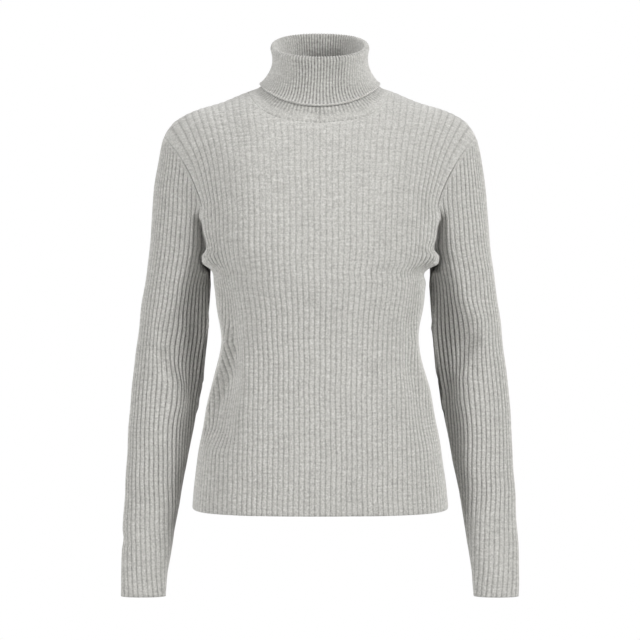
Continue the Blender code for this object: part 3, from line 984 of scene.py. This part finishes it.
def neck_parts(angle):
    """The two faces of the neck seam, which angles lie on each, and the rib at each of those angles."""
    for face, here in (("front", angle <= math.pi / 2), ("back", angle > math.pi / 2)):
        turn = np.minimum(angle[here], math.pi - angle[here])
        yield face, here, NECK_RIB * np.sin(turn) ** (2 / NECK_ROUND)


def collar_seam(angle):
    """The neck seam at angles round it, from the front middle by the wearer's left to the back middle."""
    points = np.empty((len(angle), 3))
    for face, here, ribs in neck_parts(angle):
        points[here] = body_high(ribs, neck_climb(ribs, face), face)
    return points


def body_facing(angle):
    """The way the body faces along the neck seam, so that the collar can leave it without a crease."""
    facing = np.empty((len(angle), 3))
    for face, here, ribs in neck_parts(angle):
        climb = np.minimum(neck_climb(ribs, face), 1 - RIB_STEP)
        across = body_high(ribs + RIB_STEP, climb, face) - body_high(ribs, climb, face)
        up = body_high(ribs, climb, face) - body_high(ribs, climb - RIB_STEP, face)
        facing[here] = unit(np.cross(across, up)) * (1 if face == "front" else -1)
    return facing


print("the neck seam's side:", collar_seam(np.array([math.pi / 2]))[0].round(4), "m")

# %% The collar's section
FALL_STEP = 0.01


def fall_edge(forward, sideways):
    """The fall's free edge, which dips in front and rises to the back."""
    half_fall = (FALL_EDGE_BACK - FALL_EDGE_FRONT) / 2
    tilt = (FALL_EDGE_LEVELS["back"] - FALL_EDGE_LEVELS["front"]) / 2
    dip = (FALL_EDGE_LEVELS["back"] + FALL_EDGE_LEVELS["front"]) / 2 - FALL_EDGE_LEVELS["side"]
    x = FALL_EDGE_WIDTH * sideways
    y = (FALL_EDGE_BACK + FALL_EDGE_FRONT) / 2 - half_fall * forward
    return np.concatenate([x, y, FALL_EDGE_LEVELS["side"] - tilt * forward + dip * forward**2], axis=1)


def collar_rows(seam, angle):
    """Rows up the stand from the neck seam, over the crest and down the fall, at each angle round."""
    forward = np.cos(angle)[:, None]
    sideways = np.sin(angle)[:, None]
    outward = np.concatenate([sideways, -forward, 0 * forward], axis=1)
    round_x, round_y = np.sign(outward[:, :2]).T * np.abs(outward[:, :2]).T ** (2 / CREST_ROUND)
    axis = np.array([0, -math.sin(COLLAR_TILT), math.cos(COLLAR_TILT)])

    def ring(radius, lift):
        x = radius * round_x
        y = CREST_Y + radius * round_y
        z = CREST_Z + math.tan(COLLAR_TILT) * radius * round_y
        return np.stack([x, y, z], axis=1) + lift * axis

    stand_end, fall_start = ring(STAND_RADIUS, 0), ring(FALL_RADIUS, 0)
    fall_end = fall_edge(forward, sideways)
    drop = np.linalg.norm(fall_end - fall_start, axis=1)[:, None]
    flare_out, flare_down = FALL_FLARE
    arrive = unit(flare_out * outward - flare_down * np.array([0, 0, 1.0])) * drop
    hang = (-axis - FALL_WAIST * outward) * FALL_DROP * drop

    def fall(t):
        return hermite(fall_start, hang, fall_end, arrive, t)

    def fall_way(t):
        return unit(fall(t + FALL_STEP) - fall(t - FALL_STEP))

    def beneath(t):
        """The stand lies against the fall from the crest down to its tuck, a roll's width inside it."""
        way = fall_way(t)
        square = unit(outward - (outward * way).sum(axis=1, keepdims=True) * way)
        place = fall(t) - (CREST_GAP + (TUCKED_GAP - CREST_GAP) * t / TUCK) * square
        if t == 0:
            return place
        return place + (stand_end - beneath(0)) * (1 - t / TUCK) ** 2

    tuck_end = beneath(TUCK)
    climb = tuck_end - seam
    reach = np.linalg.norm(climb, axis=1)[:, None]
    facing = body_facing(angle)
    leave = unit(climb - (climb * facing).sum(axis=1, keepdims=True) * facing) * reach
    enter = -fall_way(TUCK) * reach
    rows = [hermite(seam, leave, tuck_end, enter, t) for t in np.linspace(0, 1, STAND_ROWS + 1)]
    rows += [beneath(t) for t in np.linspace(TUCK, 0, TUCKED_ROWS + 1)[1:-1]]
    rows.append(stand_end)
    middle_radius = (STAND_RADIUS + FALL_RADIUS) / 2
    for turn in np.linspace(0, math.pi, CREST_ROWS + 1)[1:-1]:
        rows.append(ring(middle_radius - CREST_GAP / 2 * math.cos(turn), CREST_GAP / 2 * math.sin(turn)))
    rows += [fall(1 - (1 - t) ** FALL_CROWDING) for t in np.linspace(0, 1, FALL_ROWS + 1)]
    return np.array(rows)


def evenly(row, shares):
    """A row of points laid out again at even distances, at the given shares of its length."""
    run = np.concatenate([[0], np.cumsum(np.linalg.norm(np.diff(row, axis=0), axis=1))])
    return np.stack([np.interp(shares * run[-1], run, row[:, axis]) for axis in range(3)], axis=1)


front_section = collar_rows(collar_seam(np.zeros(1)), np.zeros(1))
print("collar, from seam to edge in front:", round(float(lengths_up(front_section)[-1, 0]), 3), "m")

# %% The collar
COLLAR_GROOVE = 0.0012
RIBS_START = (0.008, 0.015)
STAND_SHOW = 0.65
STAND_RISE = (0.015, 0.040)
EDGE_FADE = 0.002
SIDEWAYS = (0.25, 0.65)
SIDE_FADE = 0.65
LOW_SIDE_GAIN = 0.35
LOW_LEVELS = (-0.020, 0.015)
SEAM_STITCH = 0.7
STITCH_SPAN = (0.055, 0.080)
LIP = 0.0007
LIP_WIDTH = 0.0014
LIP_EVEN = 0.7


def collar_show(points, outward, length):
    """How clearly the fine ribs show: less where they stretch round the sides, and not at the two edges.

    A short stretch of deeper rib, and so of darker painted shade in its grooves, along the front of the
    neck seam is the line of its stitches.
    """
    low = 1 - smooth_step(points[..., 2], *LOW_LEVELS)
    side = smooth_step(np.abs(outward[..., 0]), *SIDEWAYS)
    show = smooth_step(length, *RIBS_START) * smooth_step(length[-1] - length, 0.0, EDGE_FADE)
    show = show * (1 - (SIDE_FADE - LOW_SIDE_GAIN * low) * side)
    show = show * (STAND_SHOW + (1 - STAND_SHOW) * smooth_step(length, *STAND_RISE))
    in_front = 1 - smooth_step(np.abs(points[..., 0]), *STITCH_SPAN)
    return show + SEAM_STITCH * in_front * np.exp(-((length / SEAM_REACH) ** 2))


def make_collar():
    angle = np.linspace(0, math.pi, OUTLINE_TURNS)
    dense = collar_rows(collar_seam(angle), angle)
    half = rib_columns(COLLAR_RIBS // 2, COLLAR_COLUMNS_OF_A_RIB)
    left = np.array([evenly(row, half / half[-1]) for row in dense])
    points = eased(np.concatenate([left, left[:, -2::-1] * np.array([-1, 1, 1])], axis=1))
    ribs = np.concatenate([half, 2 * half[-1] - half[-2::-1]])
    outward = surface_normals(points, wrap=True)
    length = lengths_up(points)
    show = collar_show(points, outward, length)
    wales = np.cos(2 * math.pi * ribs)
    relief = -COLLAR_GROOVE * show * (0.5 + 0.5 * wales) - seam_roll(length, NECK_ROLL)
    # The fall's free edge is a little thicker, as an edge is where the knitting was cast off.
    to_lip = length[-1] - length - LIP_WIDTH / 2
    lip = LIP * np.exp(-((to_lip / LIP_WIDTH) ** 2)) * (LIP_EVEN + (1 - LIP_EVEN) * wales)
    return knit_piece("collar_knit", points, outward, ribs, relief, relief + lip, show, sewn=True)


collar = make_collar()

# %% [markdown]
# ## Ride, replace, measure
#
# Each knitted piece rides on the one body, and the plain solid of the same name is hidden, so the piece
# stands for it. Each is a sheet of cloth, and the table lists the size it was cut to: the widest it lies
# flat by its length, and its real area, because none of them is a plain rectangle.

CUT = (
    (front, "front", (0.46, 0.60), 0.237),
    (back, "back", (0.46, 0.60), 0.228),
    (sleeves[0], "sleeve_left", (0.30, 0.64), 0.133),
    (sleeves[1], "sleeve_right", (0.30, 0.64), 0.133),
    (collar, "collar", (0.44, 0.17), 0.073),
)
for piece, node, flat, area in CUT:
    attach(piece, "root")
    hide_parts(node)
print("cloth in all:", round(sum(row[-1] for row in CUT), 3), "square metres")

# %% [markdown]
# ## The yarn
#
# The cloth is a brushed wool blend in grey mélange: the fibres were dyed before they were spun, so pale
# and dark flecks lie side by side in every strand. Under even light it reads as one soft grey with a
# mottle a few millimetres across. Short fibres stand off it and catch light at the edges, which the
# shader's sheen gives. A picture of knit wrapped round the pieces would slide off their ribs, so noise of
# three sizes is mixed instead, and two of the three follow the cloth's own measure.


# %% Nodes and colours
def linear(colour, alpha=1.0):
    """A hex colour, as a painter would pick it, in the linear light that shaders work in."""
    parts = [int(colour[i : i + 2], 16) / 255 for i in (1, 3, 5)]
    return [p / 12.92 if p <= 0.04045 else ((p + 0.055) / 1.055) ** 2.4 for p in parts] + [alpha]


def add_node(tree, kind, inputs=None, **settings):
    """A shader node. Each input takes a plain value, or another node's output as its link."""
    made = tree.nodes.new("ShaderNode" + kind)
    for name, value in settings.items():
        setattr(made, name, value)
    for socket, value in (inputs or {}).items():
        if isinstance(value, bpy.types.NodeSocket):
            tree.links.new(value, made.inputs[socket])
        else:
            made.inputs[socket].default_value = value
    return made


YARN_DARK = "#b4b3b0"
YARN = "#cac9c5"
YARN_PALE = "#deddda"
# The last grey is painted shade: the colour that the grooves darken towards, in place of their shadow.
PAINTED_GROOVE_SHADE = "#8e8d8b"
print("the yarn's grey in linear light:", [round(part, 3) for part in linear(YARN)[:3]])

# %% The yarn's colour
# A real fleck is under a millimetre long. The sizes here, in metres, are as coarse as they need to show.
FLECK = 0.0019
MOTTLE = 0.0034
COURSE = 0.0030
RIB_SIZE = 0.007
COURSE_DRAWN = 0.1
MOTTLE_WEIGHT = 0.5
COURSE_WEIGHT = 0.3
YARN_RANGE = (0.60, 1.20)


def yarn_colour(tree, rib, along, fleck):
    """Marled grey: flecks, a mottle that follows the cloth, and faint courses from side to side."""
    across = add_node(tree, "Math", {0: rib, 1: RIB_SIZE}, operation="MULTIPLY").outputs[0]
    place = add_node(tree, "CombineXYZ", {0: across, 1: along}).outputs[0]
    mottle = add_node(tree, "TexNoise", {"Vector": place, "Scale": 1 / MOTTLE, "Detail": 1.0})
    # A course is one row of stitches, so its pattern is drawn out ten times across the ribs.
    drawn = add_node(tree, "Math", {0: across, 1: COURSE_DRAWN}, operation="MULTIPLY").outputs[0]
    place = add_node(tree, "CombineXYZ", {0: drawn, 1: along}).outputs[0]
    course = add_node(tree, "TexNoise", {"Vector": place, "Scale": 1 / COURSE, "Detail": 0.0})
    mix = {0: mottle.outputs[0], 1: MOTTLE_WEIGHT, 2: fleck}
    mixed = add_node(tree, "Math", mix, operation="MULTIPLY_ADD").outputs[0]
    mix = {0: course.outputs[0], 1: COURSE_WEIGHT, 2: mixed}
    mixed = add_node(tree, "Math", mix, operation="MULTIPLY_ADD").outputs[0]
    low, high = YARN_RANGE
    spread = add_node(tree, "MapRange", {0: mixed, 1: low, 2: high, 3: 0.0, 4: 1.0}).outputs[0]
    yarn = add_node(tree, "ValToRGB", {0: spread})
    yarn.color_ramp.elements[0].color = linear(YARN_DARK)
    yarn.color_ramp.elements[1].color = linear(YARN_PALE)
    yarn.color_ramp.elements.new(0.5).color = linear(YARN)
    return yarn.outputs[0]


print("yarn from", YARN_DARK, "by", YARN, "to", YARN_PALE)


# %% The painted shade in the grooves
KNOT_RANGE = (0.3, 0.7)
KNOT_SHADE = 0.6


def painted_groove_shade(tree, rib, knot, reach, dark):
    """Painted shade in the grooves. It is darkest between two stitches, so the line is broken."""
    off_groove = add_node(tree, "Math", {0: rib, 1: 0.5}, operation="PINGPONG").outputs[0]
    fade = {0: off_groove, 1: 0.0, 2: reach, 3: 1.0, 4: 0.0}
    shade = add_node(tree, "MapRange", fade, interpolation_type="SMOOTHSTEP").outputs[0]
    low, high = KNOT_RANGE
    uneven = add_node(tree, "MapRange", {0: knot, 1: low, 2: high, 3: KNOT_SHADE, 4: 1.0}).outputs[0]
    shown = add_node(tree, "Attribute", attribute_name="rib_show").outputs["Fac"]
    for factor in (uneven, shown, dark):
        shade = add_node(tree, "Math", {0: shade, 1: factor}, operation="MULTIPLY").outputs[0]
    return shade


print("between stitches a groove keeps", KNOT_SHADE, "of its shade at the least")

# %% The relief of the stitches
# A real stitch here is about 2.5 mm tall. It is drawn twice as tall, so that it shows.
STITCH = 0.0052
STITCH_LEAN = 5.0
STITCH_HEIGHT = 0.06
FLECK_HEIGHT = 0.4
BUMP_STRENGTH = 0.6
BUMP_HEIGHT = 0.0016


def stitch_bump(tree, rib, along, knot, fleck):
    """Stitches and loose fibres. A stitch is a loop whose two legs lean together along the rib."""
    leg = add_node(tree, "Math", {0: rib, 1: 0.5}, operation="PINGPONG").outputs[0]
    stitches = add_node(tree, "Math", {0: along, 1: 2 * math.pi / STITCH}, operation="MULTIPLY").outputs[0]
    mix = {0: leg, 1: STITCH_LEAN, 2: stitches}
    slanted = add_node(tree, "Math", mix, operation="MULTIPLY_ADD").outputs[0]
    stitch = add_node(tree, "Math", {0: slanted}, operation="SINE").outputs[0]
    mix = {0: stitch, 1: STITCH_HEIGHT, 2: knot}
    height = add_node(tree, "Math", mix, operation="MULTIPLY_ADD").outputs[0]
    mix = {0: fleck, 1: FLECK_HEIGHT, 2: height}
    height = add_node(tree, "Math", mix, operation="MULTIPLY_ADD").outputs[0]
    bump = {"Height": height, "Strength": BUMP_STRENGTH, "Distance": BUMP_HEIGHT}
    return add_node(tree, "Bump", bump).outputs[0]


print("stitches to a front's length:", round(0.6 / STITCH))


# %% Rib knit
def rib_knit(name, groove_reach, painted_groove_dark):
    """Brushed wool rib knit: rough all over, with a thin sheen. Its UV map counts ribs and metres."""
    material = bpy.data.materials.new(name)
    material.use_nodes = True
    tree = material.node_tree
    tree.nodes.clear()
    place = add_node(tree, "TexCoord")
    rib, along = add_node(tree, "SeparateXYZ", {0: place.outputs["UV"]}).outputs[:2]
    spots = {"Vector": place.outputs["Object"], "Scale": 1 / FLECK, "Detail": 1.0}
    fleck = add_node(tree, "TexNoise", spots).outputs[0]
    stitches = {0: place.outputs["UV"], 1: (1.0, 1 / STITCH, 0.0)}
    stitch_place = add_node(tree, "VectorMath", stitches, operation="MULTIPLY").outputs[0]
    knot = add_node(tree, "TexNoise", {"Vector": stitch_place, "Scale": 1.0, "Detail": 0.0}).outputs[0]
    yarn = yarn_colour(tree, rib, along, fleck)
    shade = painted_groove_shade(tree, rib, knot, groove_reach, painted_groove_dark)
    # The painted shade in the grooves darkens the yarn towards the groove grey.
    shaded = {0: shade, 6: yarn, 7: linear(PAINTED_GROOVE_SHADE)}
    colour = add_node(tree, "Mix", shaded, data_type="RGBA", blend_type="MULTIPLY").outputs[2]
    finish = {
        "Base Color": colour,
        "Roughness": 0.9,
        "Diffuse Roughness": 1.0,
        "Specular IOR Level": 0.2,
        "Sheen Weight": 0.25,
        "Sheen Roughness": 0.5,
        "Normal": stitch_bump(tree, rib, along, knot, fleck),
    }
    wool = add_node(tree, "BsdfPrincipled", finish)
    add_node(tree, "OutputMaterial", {"Surface": wool.outputs[0]})
    print(name, "-", len(tree.nodes), "nodes")
    return material


# The slack sleeves have darker painted shade in their grooves than the body, and the fine rib has the
# widest and the darkest.
wide_rib = rib_knit("wool_wide_rib", groove_reach=0.22, painted_groove_dark=0.48)
sleeve_rib = rib_knit("wool_relaxed_rib", groove_reach=0.24, painted_groove_dark=0.65)
fine_rib = rib_knit("wool_fine_rib", groove_reach=0.42, painted_groove_dark=0.80)
for piece in (front, back):
    piece.data.materials.append(wide_rib)
for piece in sleeves:
    piece.data.materials.append(sleeve_rib)
collar.data.materials.append(fine_rib)

# %% [markdown]
# ## The floor
#
# A pale floor lies where the wearer's feet would stand, well below the hem. It only has to throw a little
# light back up, so a plane with plain matt paint is enough. It is staging, not part of the sweater.

# %% A pale floor
FLOOR_LEVEL = -1.4
FLOOR_SIZE = 6
bpy.ops.mesh.primitive_plane_add(size=FLOOR_SIZE, location=(0, 0, FLOOR_LEVEL))
floor = bpy.context.object
floor.name = "studio_floor"
paint = bpy.data.materials.new("matt_floor_paint")
paint.use_nodes = True
paint.node_tree.nodes["Principled BSDF"].inputs["Base Color"].default_value = linear("#dededc")
paint.node_tree.nodes["Principled BSDF"].inputs["Roughness"].default_value = 0.8
floor.data.materials.append(paint)
bpy.ops.object.transform_apply(location=True)
print("floor", round(HEM - FLOOR_LEVEL, 3), "m below the hem")

# %% [markdown]
# ## The light
#
# Two large soft boxes stand in front, one to each side, so the chest is bright, the grooves show, and each
# sleeve darkens towards the body. A weak one hangs high in front, and two behind light the edges. One box
# beside the lens would be simpler, but would flatten every rib. The white round the sweater is only there
# to be looked at: as a light it is kept very dim.

# %% Five soft boxes
BOXES = (
    # name, place, aimed at, width and height, watts
    ("right_box", (2.4, -1.8, 0.75), (0, 0, -0.3), (1.2, 1.8), 84),
    ("left_box", (-2.4, -1.8, 0.25), (0, 0, -0.3), (1.2, 1.8), 57),
    ("front_box", (0.0, -2.4, 1.6), (0, 0, -0.2), (1.6, 1.0), 20),
    ("back_left_box", (-1.6, 2.8, 0.5), (0, 0, -0.3), (1.6, 1.8), 28),
    ("back_right_box", (1.9, 2.6, 0.5), (0, 0, -0.3), (1.6, 1.8), 34),
)
for name, place, target, size, watts in BOXES:
    bpy.ops.object.light_add(type="AREA", location=place)
    lamp = bpy.context.object
    lamp.name = name
    lamp.data.shape = "RECTANGLE"
    lamp.data.size, lamp.data.size_y = size
    lamp.data.energy = watts
    aim = mathutils.Vector(target) - mathutils.Vector(place)
    lamp.rotation_euler = aim.to_track_quat("-Z", "Y").to_euler()
print(len(BOXES), "soft boxes,", sum(box[-1] for box in BOXES), "watts")

# %% A white surround
DIM = 0.01
world = bpy.data.worlds.new("white_studio")
bpy.context.scene.world = world
world.use_nodes = True
sky = world.node_tree
sky.nodes.clear()
seen = add_node(sky, "LightPath").outputs["Is Camera Ray"]
seen_white = add_node(sky, "Background", {"Color": linear("#ffffff"), "Strength": 1.0}).outputs[0]
dim_white = add_node(sky, "Background", {"Color": linear("#ffffff"), "Strength": DIM}).outputs[0]
either = add_node(sky, "MixShader", {0: seen, 1: dim_white, 2: seen_white}).outputs[0]
add_node(sky, "OutputWorld", {"Surface": either})
bpy.context.scene.view_settings.view_transform = "Standard"
print("the surround lights the sweater at", DIM, "of its brightness")

# %% [markdown]
# ## The camera
#
# A long lens from a few metres away, level with the middle of the sweater, keeps its sides upright and
# its sleeves in proportion. A short lens close by would make the chest swell and the cuffs shrink.

# %% A long lens
CAMERA_PLACE = (0, -3.2, -0.308)
bpy.ops.object.camera_add(location=CAMERA_PLACE, rotation=(math.radians(90), 0, 0))
camera = bpy.context.object
camera.name = "front_camera"
camera.data.sensor_width = 36
camera.data.lens = 133.3
bpy.context.scene.camera = camera
print("the view is", round(-CAMERA_PLACE[1] * camera.data.sensor_width / camera.data.lens, 3), "m wide")
